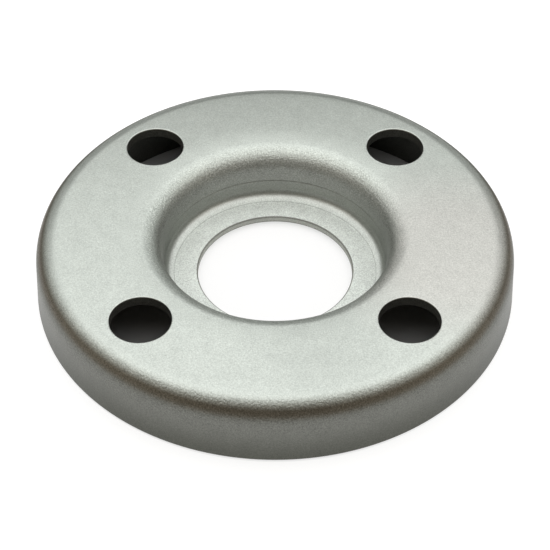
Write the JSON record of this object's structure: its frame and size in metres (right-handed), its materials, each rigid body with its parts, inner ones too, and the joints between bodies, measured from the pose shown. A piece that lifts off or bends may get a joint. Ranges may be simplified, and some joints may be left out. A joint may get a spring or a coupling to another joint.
{
  "type": "pressed flange",
  "caption": "Pressed loose pipe flange: a dished ring of stainless sheet with a central bore, round bolt holes and a turned-down skirt.",
  "frame": {"origin": "on the axis, in the plane of the dish floor's underside, on which the flange stands", "axes": "+Z along the axis, from the collar side to the bolting face; the bolt holes lie on the diagonals between +X and +Y"},
  "size_m": [0.115, 0.115, 0.016],
  "materials": {
    "blasted_stainless": "blasted and pickled satin stainless steel"
  },
  "bodies": {
    "root": {"flange": "blasted_stainless"}
  },
  "joints": []
}
